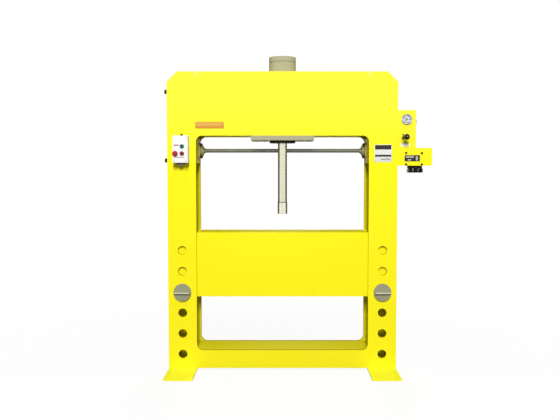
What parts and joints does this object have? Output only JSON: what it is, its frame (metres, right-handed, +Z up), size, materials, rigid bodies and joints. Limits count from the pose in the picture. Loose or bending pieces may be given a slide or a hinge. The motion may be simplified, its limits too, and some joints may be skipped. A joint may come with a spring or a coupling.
{
  "type": "hydraulic shop press",
  "caption": "H-frame hydraulic shop press with a vertical ram, adjustable bolster on pins, cross shaft, motor starter, lever valve with gauge, and power unit behind the beam.",
  "frame": {"origin": "on the floor under the axis of the ram, midway between the front and back plates", "axes": "+X to the right seen from the front, +Y to the back, +Z up"},
  "size_m": [1.745, 0.804, 2.063],
  "materials": {
    "yellow_paint": "gloss paint",
    "cream_paint": "satin paint",
    "grey_paint": "satin paint",
    "bright_steel": "machined",
    "chrome_rod": "hard chrome",
    "dark_steel": "blackened",
    "white_plastic": "moulded",
    "black_plastic": "moulded",
    "green_plastic": "moulded",
    "red_plastic": "moulded",
    "seal_rubber": "moulded",
    "dial_white": "matt paint",
    "gauge_glass": "clear"
  },
  "bodies": {
    "frame": {"front_plate": "yellow_paint", "back_plate": "yellow_paint", "left_side_plate": "yellow_paint", "right_side_plate": "yellow_paint", "top_plate": "yellow_paint", "beam_floor": "yellow_paint", "base_web": "yellow_paint", "left_foot": "yellow_paint", "right_foot": "yellow_paint", "bearing_plates": "yellow_paint", "cylinder_barrel": "cream_paint", "cylinder_cap": "cream_paint", "mount_plate": "cream_paint", "gland_ring": "dark_steel", "head_bush": "bright_steel", "rod_seal": "seal_rubber", "lift_chains": "dark_steel", "flange_bearings": "cream_paint", "bearing_bolts": "dark_steel", "wiring_duct": "grey_paint", "side_bolts": "bright_steel", "starter_base": "white_plastic", "starter_cover": "white_plastic", "starter_contactor": "black_plastic", "control_housing": "yellow_paint", "gauge_case": "grey_paint", "gauge_dial": "dial_white", "gauge_glass": "gauge_glass", "valve_body": "dark_steel", "valve_bolts": "dark_steel", "valve_fittings": "dark_steel", "pump_shelf": "yellow_paint", "reservoir": "grey_paint", "reservoir_lid": "grey_paint", "motor_housing": "grey_paint", "fan_cowl": "grey_paint", "pump": "dark_steel", "oil_pipes": "bright_steel"},
    "ram": {"ram_rod": "chrome_rod", "ram_nose": "bright_steel", "piston": "bright_steel", "piston_seal": "seal_rubber"},
    "bolster": {"bolster_front_plate": "yellow_paint", "bolster_back_plate": "yellow_paint", "bolster_bed": "yellow_paint", "bolster_webs": "yellow_paint", "pin_saddles": "yellow_paint"},
    "left_pin_body": {"left_pin": "bright_steel"},
    "right_pin_body": {"right_pin": "bright_steel"},
    "shaft": {"cross_shaft": "bright_steel", "sprockets": "bright_steel", "bearing_rings": "bright_steel"},
    "start": {"start_button": "green_plastic"},
    "stop": {"stop_button": "red_plastic"},
    "mushroom": {"stop_mushroom": "red_plastic"},
    "needle": {"gauge_needle": "black_plastic"},
    "lever": {"valve_lever": "bright_steel", "lever_knob": "black_plastic"},
    "rotor": {"motor_rotor": "bright_steel"}
  },
  "joints": [
    {"name": "ram_slide", "type": "slide", "parent": "frame", "child": "ram", "axis": [0, 0, 1], "range_m": [0, 0.375]},
    {"name": "bolster_lift", "type": "slide", "parent": "frame", "child": "bolster", "axis": [0, 0, 1], "range_m": [0, 0.105]},
    {"name": "left_pin_slide", "type": "slide", "parent": "frame", "child": "left_pin_body", "axis": [0, -1, 0], "range_m": [0, 0.26]},
    {"name": "right_pin_slide", "type": "slide", "parent": "frame", "child": "right_pin_body", "axis": [0, -1, 0], "range_m": [0, 0.26]},
    {"name": "shaft_turn", "type": "hinge", "parent": "frame", "child": "shaft", "pos_m": [0, 0.048, 1.449], "axis": [-1, 0, 0], "range_deg": [0, 164.5]},
    {"name": "start_press", "type": "slide", "parent": "frame", "child": "start", "axis": [0, 1, 0], "range_m": [0, 0.004], "stiffness_N_per_m": 800},
    {"name": "stop_press", "type": "slide", "parent": "frame", "child": "stop", "axis": [0, 1, 0], "range_m": [0, 0.004], "stiffness_N_per_m": 800},
    {"name": "mushroom_press", "type": "slide", "parent": "frame", "child": "mushroom", "axis": [0, 1, 0], "range_m": [0, 0.004], "stiffness_N_per_m": 800},
    {"name": "needle_turn", "type": "hinge", "parent": "frame", "child": "needle", "pos_m": [0.8065, -0.134, 1.647], "axis": [0, 1, 0], "range_deg": [0, 270], "stiffness_Nm_per_rad": 0.0005},
    {"name": "lever_swing", "type": "hinge", "parent": "frame", "child": "lever", "pos_m": [0.793, -0.099, 1.532], "axis": [0, 0, 1], "range_deg": [-15, 15], "stiffness_Nm_per_rad": 3},
    {"name": "motor_spin", "type": "hinge", "parent": "frame", "child": "rotor", "pos_m": [-0.33, 0.288, 1.877], "axis": [1, 0, 0], "continuous": true}
  ],
  "couplings": [
    {"joint": "shaft_turn", "follows": "bolster_lift", "rad_per_m": 27.173}
  ]
}
